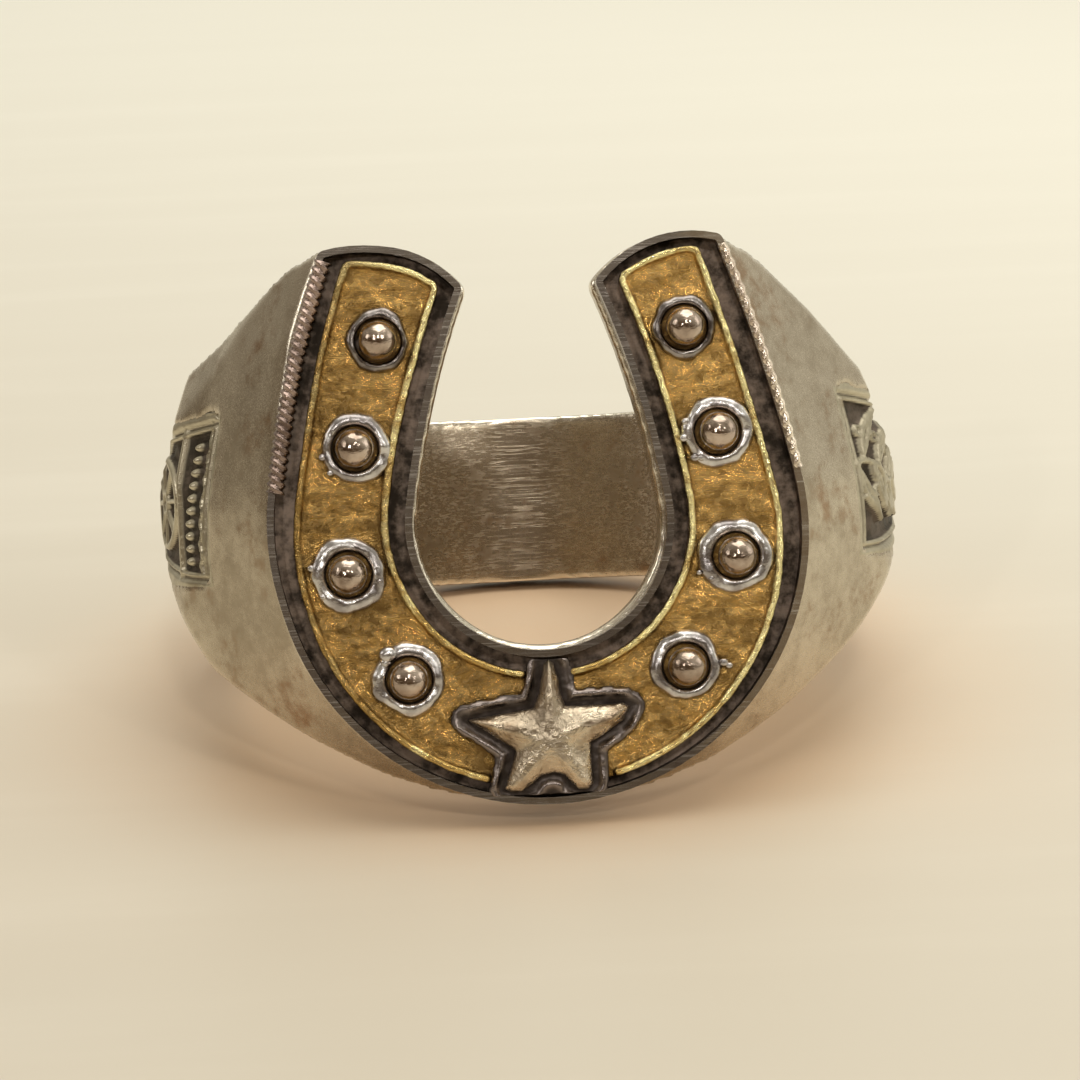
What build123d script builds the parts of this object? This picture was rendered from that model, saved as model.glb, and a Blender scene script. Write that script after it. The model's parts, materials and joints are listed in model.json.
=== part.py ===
from build123d import *
import math
import os

# A man's finger ring whose head is a horseshoe: a silver shank with thick shoulders, a horseshoe tray
# soldered across them, and in the tray a brass horseshoe with eight ball-headed nails and a star at the toe.
#
# Each piece is first made in the ring's own frame: X across the finger, Y along it with the heels of the
# shoe at +Y, Z out through the face, and the centre of the finger bore at the origin. At the end the ring
# is laid down on its toe and on the back of its band, the way it lies on a table, with +Z up.
# Outlines on the face are drawn from the middle of the face. All sizes are in millimetres.

# ---- shank ----
finger_bore = 19.8
band_thickness = 1.7
side_thickness = 3.0
band_width = 5.8
side_width = 6.4
edge_bevel_width = 0.6
edge_bevel_depth = 0.36
crown_thickness = 1.1
flare_start = -2.0

# ---- horseshoe tray ----
head_drop = 0.9
tray_depth = 1.2
tray_floor = 0.5
lip_width = 0.22
seat_ledge = 0.12
toe_radius = 8.55
toe_centre = -0.55
toe_rise = 12
opening_radius = 4.05
opening_centre = -0.15
opening_rise = 8
heel_outer = (6.2, 8.75)
heel_crown = (4.2, 8.8)
heel_inner = (2.1, 7.45)
heel_rounding = 0.3

# ---- shoulders ----
# They were filed by hand and differ a little. The points on each one's edge run from low on its side up to its
# corner, and are given in from the widest place and up from the middle of the face.
shoulder_draft = 36.6
toe_flare = 0.2
toe_corner_angle = 30
toe_corner_flare = 0.5
shoulder_bow = 0.3
left_edge = [(2.0, -4.5), (0.7, -2.1), (0.06, 0.6), (0.45, 2.5), (1.5, 5.4)]
right_edge = [(2.35, -4.3), (0.9, -2.2), (0.2, 0.1), (0.55, 1.9), (1.65, 4.5)]

# ---- facet filed across the upper corner of each shoulder: a point on it, and the way it faces ----
facet_point = (8.6, 6.5)
facet_sink = 1.93
facet_normal = (0.8, 0.42, 0.43)

# ---- brass shoe, by the dark groove left round it ----
groove_side = 0.8
groove_toe = 0.5
groove_inner = 0.7
groove_heel = 0.5
plate_thickness = 0.48
plate_rim_width = 0.22
plate_rim_height = 0.2

# ---- nails: how far along the branch each stands, as a share from the toe, and its collar's radius ----
nail_rows = [(0.878, 0.92), (0.69, 1.05), (0.474, 1.12), (0.263, 1.05)]
nail_ball_radius = 0.62
nail_ball_lift = 0.565
nail_neck_radius = 0.45
nail_pin_radius = 0.35
collar_height = 0.3
collar_inner_radius = 0.72
collar_crest = 0.55

# ---- star ----
star_reach = 2.2
star_stretch = 1.22
star_waist = 0.45
star_edge = 0.3
star_peak = 0.6
backing_margin = 0.42
backing_thickness = 0.12
backing_rim = 0.13
backing_rim_height = 0.12

# ---- rope edge ----
rope_radius = 0.24
rope_stand_off = 0.12
rope_drop = 0.2

# ---- side panels: set down from the shoe's seat, with their heights at the front and back ends ----
panel_drop = 3.2
panel_length = 11.2
panel_front_height = 5.4
panel_back_height = 4.3
panel_offset = 0.2
panel_corner = 0.5
panel_sink = 0.05
recess_depth = 1.7

# ---- fits ----
seat_clearance = 0.02
panel_clearance = 0.05

# ---- worked out from the sizes above ----
bore_radius = finger_bore / 2
back_reach = bore_radius + band_thickness
side_reach = bore_radius + side_thickness
crest_height = side_reach - back_reach
seat_height = bore_radius + crown_thickness
face_height = seat_height + tray_depth
panel_top = seat_height - panel_drop
floor_level = tray_floor - tray_depth
field_level = floor_level + plate_thickness
backing_level = field_level + backing_thickness
far = 3 * (side_reach + toe_radius)

face_plane = Plane((0, -head_drop, face_height))
seat_plane = Plane((0, -head_drop, seat_height))


# ---- horseshoe outlines ----


def half_edge(centre, radius, rise, heel):
    """Right half of a horseshoe edge: a bow from the middle of the toe, then the branch up to the heel."""
    bow = CenterArc((0, centre), radius, -90, 90 + rise)
    branch = TangentArc(bow @ 1, heel, tangent=bow % 1)
    return bow, branch


def both_sides(half):
    """A right half and its mirror image."""
    return half + mirror(half, about=Plane.YZ)


def toward(point, centre):
    """The unit direction from a point to a centre."""
    return (centre - point).normalized()


def heel_tip(branch, heel, sense, side_inset, heel_inset):
    """A heel's corner moved in from its branch by one inset and from its end by another."""
    corner = branch @ 1
    across = toward(corner, branch.arc_center) * sense
    along = toward(corner, heel.arc_center)
    lean = across.dot(along)
    shift_across = (side_inset - heel_inset * lean) / (1 - lean**2)
    shift_along = (heel_inset - side_inset * lean) / (1 - lean**2)
    tip = corner + across * shift_across + along * shift_along
    return tip.X, tip.Y


def tray_edges(outer_inset=0.0, toe_inset=0.0, inner_inset=0.0, heel_inset=0.0):
    """The tray's outer edge, inner edge and heel crown, drawn in by the insets."""
    outer_branch = half_edge(toe_centre, toe_radius, toe_rise, heel_outer)[1]
    inner_branch = half_edge(opening_centre, opening_radius, opening_rise, heel_inner)[1]
    heel = ThreePointArc(outer_branch @ 1, heel_crown, inner_branch @ 1)
    outer_tip = heel_tip(outer_branch, heel, 1, outer_inset, heel_inset)
    inner_tip = heel_tip(inner_branch, heel, -1, inner_inset, heel_inset)
    crown = heel @ 0.5 + toward(heel @ 0.5, heel.arc_center) * heel_inset
    outer = (toe_centre - outer_inset + toe_inset, toe_radius - outer_inset, toe_rise, outer_tip)
    inner = (opening_centre, opening_radius + inner_inset, opening_rise, inner_tip)
    return outer, inner, (crown.X, crown.Y)


def horseshoe(edges, rounding):
    """A horseshoe between an outer and an inner edge, with bowed and rounded heel ends."""
    outer, inner, crown = edges
    outer_bow, outer_branch = half_edge(*outer)
    inner_bow, inner_branch = half_edge(*inner)
    heel = ThreePointArc(outer_branch @ 1, crown, inner_branch @ 1)
    middle = Line(outer_bow @ 0, inner_bow @ 0)
    half = make_face([outer_bow, outer_branch, heel, inner_branch, inner_bow, middle])
    shoe = both_sides(Sketch() + half)
    heels = [corner for corner in shoe.vertices() if corner.Y > inner[3][1] - rounding]
    return fillet(heels, rounding)


def tray_outline(inset=0.0):
    """The tray's outline, or one that lies inside it by an even inset."""
    edges = tray_edges(inset, inset, inset, inset)
    return horseshoe(edges, max(heel_rounding - inset, heel_rounding / 4))


def plate_outline(inset=0.0):
    """The brass shoe's outline inside the groove, or one that lies inside it by an even inset."""
    edges = tray_edges(groove_side + inset, groove_toe + inset, groove_inner + inset, groove_heel + inset)
    return horseshoe(edges, max(heel_rounding - inset, heel_rounding / 4))


# ---- shank ----


def opening_outline():
    """The gap inside the shoe and past its heels, narrower than the tray's by the seat's ledge."""
    _, inner, _ = tray_edges(inner_inset=-seat_ledge, heel_inset=-seat_ledge)
    outer, _, crown = tray_edges(outer_inset=-seat_ledge, heel_inset=-seat_ledge)
    bow, branch = half_edge(*inner)
    heel = ThreePointArc(branch @ 1, crown, outer[3])
    rest = Polyline(heel @ 1, (outer[3][0], far), (0, far), bow @ 0)
    return both_sides(Sketch() + make_face([bow, branch, heel, rest]))


def side_point(place):
    """A point on the shoulder's edge, given in from the widest place and up from the middle of the face."""
    return side_reach - place[0], place[1]


def half_front(edge_points):
    """Right half of the shoulders as seen from the front, from the toe round the bowed side to the heel."""
    low, bow, waist, high, shoulder_corner = [side_point(place) for place in edge_points]
    heel = tray_edges(outer_inset=-seat_ledge, heel_inset=-seat_ledge)[0][3]
    angle = math.radians(toe_corner_angle)
    flare = toe_radius + toe_corner_flare
    corner = (flare * math.sin(angle), toe_centre - flare * math.cos(angle))
    half = math.radians(toe_corner_angle / 2)
    flare = toe_radius + (toe_flare + toe_corner_flare) / 2
    between = (flare * math.sin(half), toe_centre - flare * math.cos(half))
    toe = ThreePointArc((0, toe_centre - toe_radius - toe_flare), between, corner)
    lower = SagittaArc(corner, low, -shoulder_bow)
    side = ThreePointArc(low, bow, waist)
    turn = TangentArc(waist, high, tangent=side % 1)
    upper = Polyline(high, shoulder_corner, heel, (0, heel[1]), toe @ 0)
    return Sketch() + make_face([toe, lower, side, turn, upper])


def front_outline():
    """Both shoulders as seen from the front."""
    return half_front(right_edge) + mirror(half_front(left_edge), about=Plane.YZ)


def width_outline():
    """The shank as seen from the side: a band that flares to the toe and to the heels."""
    heel = heel_outer[1] + seat_ledge - head_drop
    toe = toe_centre - toe_radius - toe_flare - head_drop
    up = Line((band_width / 2, -far), (side_width / 2, flare_start))
    flare_up = TangentArc(up @ 1, (heel, seat_height), tangent=up % 1)
    down = Line((-band_width / 2, -far), (-side_width / 2, flare_start))
    flare_down = TangentArc(down @ 1, (toe, seat_height), tangent=down % 1)
    ends = [Line(flare_up @ 1, flare_down @ 1), Line(down @ 0, up @ 0)]
    return make_face([up, flare_up, flare_down, down, *ends])


def about_band(profile):
    """A profile turned about the outside's axis, which is above the bore's, so the back is the thinnest."""
    return Pos(0, 0, crest_height) * revolve(profile, Axis.Y)


def band_outside():
    """The band's round outside, with a bevel along both edges."""
    flat = band_width / 2 - edge_bevel_width
    slope = edge_bevel_depth / edge_bevel_width
    edge = side_reach - slope * (side_width - flat)
    rim = Polyline((edge, -side_width), (side_reach, -flat), (side_reach, flat), (edge, side_width))
    return about_band(make_face([rim, Polyline(rim @ 1, (0, side_width), (0, -side_width), rim @ 0)]))


def shoulders():
    """The two shoulders: a head that widens away from the shoe until it meets the round of the sides."""
    bow, branch = half_edge(toe_centre, toe_radius, toe_rise, heel_outer)
    ceiling = Polyline(branch @ 1, (0, (branch @ 1).Y), bow @ 0)
    outline = both_sides(Sketch() + make_face([bow, branch, ceiling]))
    head = extrude(seat_plane * outline, seat_height, dir=(0, 0, -1), taper=-shoulder_draft)
    return head & round_core(0)


def half_space(side):
    """Everything above or below the level where the sides stand out furthest."""
    return Pos(0, 0, crest_height + side * far / 2) * Box(far, far, far)


def corner_facet(side):
    """What is filed away from the upper corner of one shoulder."""
    point = (side * facet_point[0], facet_point[1] - head_drop, seat_height - facet_sink)
    outward = (side * facet_normal[0], facet_normal[1], facet_normal[2])
    return extrude(Plane(point, z_dir=outward) * Rectangle(far, far), far)


def blank():
    """The solid outer form of the shank."""
    width = extrude(Plane.YZ * width_outline(), far, both=True)
    front = extrude(seat_plane * front_outline(), far, dir=(0, 0, -1))
    body = (shoulders() & half_space(1)) + (band_outside() & half_space(-1))
    return (body & front & width) - [corner_facet(side) for side in (-1, 1)]


def make_shank():
    """The silver shank: band and shoulders, bored for the finger and open under the shoe."""
    body = blank() - Rot(90, 0, 0) * Cylinder(bore_radius, far)
    body -= extrude(Plane((0, -head_drop, bore_radius / 2)) * opening_outline(), far)
    for side in (-1, 1):
        body -= side_block(side, panel_outline(0)) - round_core(recess_depth)
    return body


# ---- tray, brass shoe, nails and rope ----


def nails():
    """Each nail's place on the face and its collar's radius: four on each branch, midway across it."""
    outer, inner, crown = tray_edges(groove_side, groove_toe, groove_inner, groove_heel)
    heel = ((outer[3][0] + inner[3][0]) / 2, (outer[3][1] + inner[3][1]) / 2)
    centre, radius = (outer[0] + inner[0]) / 2, (outer[1] + inner[1]) / 2
    bow, branch = half_edge(centre, radius, (toe_rise + opening_rise) / 2, heel)
    middle = Wire([bow, branch])
    places = []
    for side in (-1, 1):
        for share, collar in nail_rows:
            place = middle.position_at(share)
            places.append((side * place.X, place.Y, collar))
    return places


def make_tray():
    """The silver tray: a horseshoe with a thin lip all round and a groove sunk in it."""
    tray = extrude(tray_outline(), -tray_depth)
    tray -= extrude(Pos(0, 0, floor_level) * tray_outline(lip_width), tray_depth)
    for side in (-1, 1):
        tray -= rope(side, rope_radius + seat_clearance)
    return tray


def rope(side, radius):
    """The twisted wire, as its round outer form, along the outer edge of one branch."""
    heel = (heel_outer[0] + rope_stand_off, heel_outer[1] - heel_rounding)
    _, path = half_edge(toe_centre, toe_radius + rope_stand_off, toe_rise, heel)
    path = Pos(0, 0, -rope_drop) * path
    wire = sweep(Plane(path @ 0, z_dir=path % 0) * Circle(radius), path)
    return wire if side > 0 else mirror(wire, about=Plane.YZ)


def make_plate():
    """The brass horseshoe: a sunken field inside raised rims, bored for the nails, clear of their collars."""
    plate = extrude(Pos(0, 0, floor_level) * plate_outline(), plate_thickness + plate_rim_height)
    plate -= extrude(Pos(0, 0, field_level) * plate_outline(plate_rim_width), plate_thickness)
    bed = backing_outline(backing_margin + panel_clearance)
    plate -= extrude(Pos(0, 0, field_level) * bed, plate_thickness)
    base = (Align.CENTER, Align.CENTER, Align.MIN)
    for x, y, collar in nails():
        bore = Cylinder(nail_pin_radius + seat_clearance, plate_thickness, align=base)
        plate -= Pos(x, y, floor_level) * bore
        plate -= Pos(x, y, field_level) * Cylinder(collar + seat_clearance, plate_thickness, align=base)
    return plate


def make_nail():
    """A nail with a ball head, drawn in below, and a pin that goes through the brass to the tray."""
    middle = field_level + nail_ball_lift
    ball = CenterArc((0, middle), nail_ball_radius, 0, 90)
    neck = [(nail_neck_radius, field_level), (nail_pin_radius, field_level), (nail_pin_radius, floor_level)]
    profile = make_face([ball, Polyline(ball @ 1, (0, floor_level), *reversed(neck), ball @ 0)])
    return revolve(Plane.XZ * profile, Axis.Z)


def make_collar(radius):
    """The raised ring round a nail, with a steep inner and a long outer slope."""
    crest = collar_inner_radius + (radius - collar_inner_radius) * collar_crest
    slopes = Polyline((collar_inner_radius, 0), (crest, collar_height), (radius, 0), (collar_inner_radius, 0))
    return Pos(0, 0, field_level) * revolve(Plane.XZ * make_face(slopes), Axis.Z)


# ---- star ----


def star_outline():
    """A five-pointed star, a little wider than high, midway across the toe of the brass shoe."""
    outer, inner, _ = tray_edges(groove_side, groove_toe, groove_inner, groove_heel)
    middle = (outer[0] - outer[1] + inner[0] - inner[1]) / 2
    points = []
    for corner in range(10):
        angle = math.radians(90 + 36 * corner)
        reach = star_reach if corner % 2 == 0 else star_reach * star_waist
        points.append((star_stretch * reach * math.cos(angle), middle + reach * math.sin(angle)))
    return make_face(Polyline(*points, points[0])), middle


def backing_outline(margin):
    """The star's backing, kept clear of the tray's lips."""
    return offset(star_outline()[0], margin) & tray_outline(lip_width + panel_clearance)


def make_backing():
    """The blackened plate under the star, with a raised edge that follows its points."""
    plate = extrude(Pos(0, 0, field_level) * backing_outline(backing_margin), backing_thickness)
    rim = backing_outline(backing_margin) - backing_outline(backing_margin - backing_rim)
    return plate + extrude(Pos(0, 0, field_level) * rim, backing_thickness + backing_rim_height)


def make_star():
    """The star: a low straight edge, then ridges that rise from every tip to the middle."""
    outline, middle = star_outline()
    edge = extrude(Pos(0, 0, backing_level) * outline, star_edge)
    peak = Vertex(0, middle, backing_level + star_edge + star_peak)
    star = edge + loft([Pos(0, 0, backing_level + star_edge) * outline, peak], ruled=True)
    return star & extrude(Pos(0, 0, backing_level) * tray_outline(lip_width + seat_clearance), 2 * star_peak)


# ---- side panels ----


def panel_outline(clearance):
    """One side panel's outline: tapered towards the back of the band, with rounded corners."""
    front = panel_front_height / 2 - clearance
    back = panel_back_height / 2 - clearance
    top = panel_top - clearance
    bottom = panel_top - panel_length + clearance
    corners = [(-front, top), (front, top), (back, bottom), (-back, bottom)]
    outline = make_face(Polyline(*corners, corners[0]))
    return fillet(outline.vertices(), panel_corner)


def side_block(side, outline):
    """An outline drawn on the side of the ring, carried straight out through it."""
    plane = Plane((0, panel_offset, 0), x_dir=(0, side, 0), z_dir=(side, 0, 0))
    return extrude(plane * outline, far)


def round_core(depth):
    """Everything inside a plain round band that lies under the widest place by a depth."""
    return about_band(Pos((side_reach - depth) / 2, 0) * Rectangle(side_reach - depth, far))


def make_panel(side):
    """An inset side panel: it has the shoulder's own outer form, a little under it, and is round behind."""
    plate = side_block(side, panel_outline(panel_clearance)) & Pos(-side * panel_sink, 0, 0) * blank()
    return plate - round_core(recess_depth - seat_clearance)


# ---- the whole ring ----


def laid_down(piece):
    """Lays the ring on its toe and on the back of its band, with the heels up and the face to the front."""
    toe_reach = toe_radius - toe_centre + toe_flare + head_drop
    edge = band_width / 2
    tilt = math.degrees(math.atan2(toe_reach - edge, seat_height + back_reach - edge_bevel_depth))
    return Rot(90 - tilt, 0, 0) * piece


def on_face(piece):
    return face_plane * piece


def ring_pieces():
    """Every piece by name, in the ring's own frame."""
    pieces = {"shank": make_shank()}
    pieces["horseshoe_tray"] = on_face(make_tray())
    pieces["brass_shoe_plate"] = on_face(make_plate())
    pieces["star_backing"] = on_face(make_backing())
    pieces["star"] = on_face(make_star())
    for number, (x, y, collar) in enumerate(nails()):
        name = ("left_" if x < 0 else "right_") + str(number % len(nail_rows) + 1)
        pieces["nail_stud_" + name] = on_face(Pos(x, y) * make_nail())
        pieces["stud_collar_" + name] = on_face(Pos(x, y) * make_collar(collar))
    pieces["rope_edge_left"] = on_face(rope(-1, rope_radius))
    pieces["rope_edge_right"] = on_face(rope(1, rope_radius))
    pieces["panel_left"] = make_panel(-1)
    pieces["panel_right"] = make_panel(1)
    return pieces


if __name__ == "__main__":
    os.makedirs("parts", exist_ok=True)
    for name, piece in ring_pieces().items():
        export_step(laid_down(piece), "parts/" + name + ".step")
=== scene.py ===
# %% [markdown]
# # A silver horseshoe ring on a pale bench
# The ring lies on its toe and on the back of its band, with the horseshoe facing the viewer.
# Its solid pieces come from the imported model, already in place and at their real size.
# This script gives every piece its finish and makes again, in more detail, what a jeweller would work by
# hand: the twisted wire, the balls, the ragged solder round them, the star, the hammered brass and the carving.

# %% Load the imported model
import json
import math

import bmesh
import bpy
from mathutils import Matrix, Vector, noise
from mathutils.bvhtree import BVHTree

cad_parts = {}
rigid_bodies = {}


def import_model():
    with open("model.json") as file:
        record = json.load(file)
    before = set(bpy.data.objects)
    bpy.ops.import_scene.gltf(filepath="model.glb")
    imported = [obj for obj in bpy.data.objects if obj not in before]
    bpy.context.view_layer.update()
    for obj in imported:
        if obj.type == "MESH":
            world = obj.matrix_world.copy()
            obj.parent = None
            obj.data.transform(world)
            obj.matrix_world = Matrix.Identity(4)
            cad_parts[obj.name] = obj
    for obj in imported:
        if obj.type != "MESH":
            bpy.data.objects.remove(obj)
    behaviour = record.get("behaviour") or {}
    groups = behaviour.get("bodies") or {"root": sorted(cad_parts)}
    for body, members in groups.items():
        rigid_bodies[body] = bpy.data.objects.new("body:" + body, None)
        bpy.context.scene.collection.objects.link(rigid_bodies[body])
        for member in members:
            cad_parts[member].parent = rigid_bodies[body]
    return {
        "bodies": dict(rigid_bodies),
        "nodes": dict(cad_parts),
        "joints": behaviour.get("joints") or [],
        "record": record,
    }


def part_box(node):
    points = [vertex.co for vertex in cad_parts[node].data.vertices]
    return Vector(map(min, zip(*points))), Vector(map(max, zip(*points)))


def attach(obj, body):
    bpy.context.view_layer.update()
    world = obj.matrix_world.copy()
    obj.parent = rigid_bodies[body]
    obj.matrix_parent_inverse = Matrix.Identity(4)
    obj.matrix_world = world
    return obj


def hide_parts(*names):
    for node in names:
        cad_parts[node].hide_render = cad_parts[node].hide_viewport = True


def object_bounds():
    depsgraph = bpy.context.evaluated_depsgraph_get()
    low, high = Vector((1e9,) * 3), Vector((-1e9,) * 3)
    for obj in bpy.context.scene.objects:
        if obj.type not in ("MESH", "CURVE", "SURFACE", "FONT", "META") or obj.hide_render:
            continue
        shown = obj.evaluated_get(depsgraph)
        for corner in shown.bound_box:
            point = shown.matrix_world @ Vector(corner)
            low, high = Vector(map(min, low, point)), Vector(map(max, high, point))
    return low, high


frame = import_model()
cad_low, cad_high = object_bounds()
print("pieces", len(frame["nodes"]), "size in mm", [round(1000 * side, 2) for side in cad_high - cad_low])

# %% [markdown]
# ## The ring's own directions
# A jeweller thinks of a ring along its bore, across it, and out through its face.
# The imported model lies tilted, so these three directions are worked out from the axis of its finger bore.
# `on_ring` then turns sizes in millimetres, given in the ring's own directions, into places in the scene.

# %% Directions and places
MM = 0.001
up = Vector(frame["record"]["mounts"][0]["axis"]).normalized()
across = Vector((1, 0, 0))
outward = across.cross(up).normalized()


def on_ring(x, y, z):
    """A place given across the ring, along its bore and out through its face, in millimetres."""
    return (across * x + up * y + outward * z) * MM


HEAD_DROP = 0.9
FACE_HEIGHT = 12.2
face_middle = on_ring(0, -HEAD_DROP, FACE_HEIGHT)
print("middle of the face in mm", [round(1000 * value, 3) for value in face_middle])

# %% [markdown]
# ## Shader maths as plain sums
# A finish is a recipe: how dark the tarnish is here, how deep a scratch is there.
# Wiring each sum by hand hides the recipe, so `Value` wraps one output of a node and adds a Math node whenever
# two of them are added, multiplied or compared. `Finish` holds one material and makes all its other nodes.

# %% Values and finishes


class Value:
    """One number that changes over a surface."""

    def __init__(self, finish, socket):
        self.finish = finish
        self.socket = socket

    def sum(self, operation, first, second):
        return self.finish.node("ShaderNodeMath", {"operation": operation}, {0: first, 1: second})

    def __add__(self, other):
        return self.sum("ADD", self, other)

    def __radd__(self, other):
        return self.sum("ADD", other, self)

    def __sub__(self, other):
        return self.sum("SUBTRACT", self, other)

    def __rsub__(self, other):
        return self.sum("SUBTRACT", other, self)

    def __mul__(self, other):
        return self.sum("MULTIPLY", self, other)

    def __rmul__(self, other):
        return self.sum("MULTIPLY", other, self)

    def __pow__(self, power):
        return self.sum("POWER", self, power)

    def most(self, other):
        return self.sum("MAXIMUM", self, other)

class Recipe:
    """A tree of nodes, with short names for the ones that it needs."""

    def __init__(self, tree, coordinates="Object"):
        self.tree = tree
        self.place = self.node("ShaderNodeTexCoord", output=coordinates)

    def node(self, kind, settings=None, values=None, output=0):
        """A node of this type, with its settings first and then the values or links of its sockets."""
        made = self.tree.nodes.new(kind)
        for setting, value in (settings or {}).items():
            setattr(made, setting, value)
        for socket, value in (values or {}).items():
            if isinstance(value, Value):
                self.tree.links.new(value.socket, made.inputs[socket])
            else:
                made.inputs[socket].default_value = value
        return Value(self, made.outputs[output])

    def noise(self, size, place=None, detail=3.0, rough=0.55, twist=0.0):
        """Soft noise whose lumps are about this many millimetres across."""
        values = {"Vector": place or self.place, "Scale": 1 / (size * MM)}
        values.update({"Detail": detail, "Roughness": rough, "Distortion": twist})
        return self.node("ShaderNodeTexNoise", {}, values)

    def fade(self, value, start, end):
        """0 up to the start, 1 from the end on, and a soft change between them."""
        values = {"Value": value, "From Min": start, "From Max": end}
        return self.node("ShaderNodeMapRange", {"interpolation_type": "SMOOTHSTEP"}, values)

    def blend(self, share, first, second):
        """From the first colour to the second as the share goes from 0 to 1."""
        first, second = (c if isinstance(c, Value) else (*c, 1.0) for c in (first, second))
        return self.node("ShaderNodeMix", {"data_type": "RGBA"}, {0: share, 6: first, 7: second}, output=2)

    def along(self, direction, start=None):
        """How far a point lies along a direction, in millimetres from a starting point."""
        reach = self.node("ShaderNodeVectorMath", {"operation": "DOT_PRODUCT"},
                          {0: self.place, 1: direction / MM}, output="Value")
        return reach - start.dot(direction) / MM if start else reach

    def turned(self, turn, stretch):
        """The place, turned by angles in degrees and then stretched along each axis."""
        angles = tuple(math.radians(angle) for angle in turn)
        return self.node("ShaderNodeMapping", {}, {"Vector": self.place, "Rotation": angles, "Scale": stretch})

    def crevices(self, reach):
        """1 deep in corners and grooves that are narrower than about this many millimetres, and 0 in the open."""
        open_sky = self.node("ShaderNodeAmbientOcclusion", {"samples": 8}, {"Distance": reach * MM}, output="AO")
        return 1 - open_sky

    def hairlines(self, turn, length=3.0, width=0.03):
        """Thin scratches that run one way, a few of them deep."""
        streak = self.turned(turn, (width / length, 1.0, 1.0))
        return self.fade(self.noise(width * 2.2, streak, detail=2.0), 0.56, 0.74)

    def bump(self, height, depth, under=None):
        """Turns a height of 0 to 1 into a change of the surface's direction, over a depth in millimetres."""
        values = {"Height": height, "Distance": depth * MM, "Strength": 1.0}
        if under:
            values["Normal"] = under
        return self.node("ShaderNodeBump", {}, values)


class Finish(Recipe):
    """One material: what is the same all over is set on its shader, and what changes is linked to it."""

    def __init__(self, name, **fixed):
        self.material = bpy.data.materials.new(name)
        self.material.use_nodes = True
        super().__init__(self.material.node_tree)
        self.shader = self.tree.nodes["Principled BSDF"]
        for socket, value in fixed.items():
            self.shader.inputs[socket.replace("_", " ")].default_value = value

    def wear(self, colour=None, rough=None, metal=None, normal=None):
        """Links what changes over the surface to the shader."""
        for socket, value in {"Base Color": colour, "Roughness": rough, "Metallic": metal, "Normal": normal}.items():
            if value:
                self.tree.links.new(value.socket, self.shader.inputs[socket])
        return self.material


# %% [markdown]
# ## Old silver
# The ring is cast and soldered silver that has been worn for years. What is rubbed stays pale and bright, and the
# pale strip along each edge is also a painted highlight, with painted shade as brown in the creases beside it. Flat
# places carry fine scratches, and tarnish turns warm brown where little touches it and almost black in corners.
# One recipe makes all the silver. Each piece gives its own colours, and its own amount of tarnish and scratches.
# The star and the balls also have the lumpy skin of metal that froze in the open.

# %% Silver recipe
BLACK_TARNISH = (0.040, 0.032, 0.025)
GREY_SOOT = (0.17, 0.135, 0.11)
BRIGHT_SILVER = (0.93, 0.88, 0.76)


def old_silver(name, clean, dull, brown, amount=0.4, reach=0.6, scratch=0.003, grain=0.002, gloss=0.22, extra=None,
               sooty=GREY_SOOT, lumps=0.0):
    """Worn silver: clean, dull and brown are its colours, amount is the share of brown, reach is how far the
    black creeps out of corners, and extra may add a share of black from a rule of the piece's own. Lumps is the
    depth of the uneven skin of a casting."""
    silver = Finish(name, Metallic=1.0)
    cloud = silver.noise(3.5, detail=3.0)
    mottle = silver.noise(0.55, detail=5.0, rough=0.65)
    patch = silver.fade(cloud * 0.6 + mottle * 0.4, 0.36, 0.66)
    warm = silver.fade(silver.noise(2.2, detail=4.0) * 0.7 + mottle * 0.3, 0.72 - 0.45 * amount, 0.92 - 0.45 * amount)
    corner = silver.fade(silver.crevices(reach) + mottle * 0.2, 0.42, 0.85)
    if extra:
        corner = corner.most(extra(silver, mottle))
    lines = silver.hairlines((0, 0, 20)).most(silver.hairlines((0, 70, 0))).most(silver.hairlines((35, 0, -50)))
    rubbed_and_edge_light = silver.node("ShaderNodeAttribute", {"attribute_name": "rubbed_and_edge_light"}, output="Fac")
    # Painted highlight and shade: points that stand out of the smoothed form are painted pale, partly as rubbed wear
    # and partly as the light their rounded edges catch, and points that sink back are painted brown, partly as tarnish
    # and partly as shade in the creases.
    edge = silver.fade(rubbed_and_edge_light + mottle * 0.05, 0.06, 0.24)
    hollow = silver.fade(rubbed_and_edge_light - mottle * 0.05, -0.04, -0.16)
    colour = silver.blend(patch, clean, dull)
    colour = silver.blend((warm * 0.75).most(hollow * 0.7), colour, brown)
    # Painted highlight, partly rubbed wear: pale silver along the edges.
    colour = silver.blend(edge * 0.85, colour, BRIGHT_SILVER)
    soot = silver.blend(silver.fade(mottle * 0.6 + cloud * 0.4, 0.4, 0.62), BLACK_TARNISH, sooty)
    colour = silver.blend(corner, colour, soot)
    rough = gloss + mottle * 0.12 + lines * 0.12 + corner * 0.25 + patch * 0.05 - edge * 0.08
    normal = silver.bump(1 - lines, scratch, silver.bump(silver.noise(0.06, detail=2.0), grain))
    if lumps:
        normal = silver.bump(silver.noise(0.5, detail=4.0, twist=0.5), lumps, normal)
    return silver.wear(colour, rough, None, normal)


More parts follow.
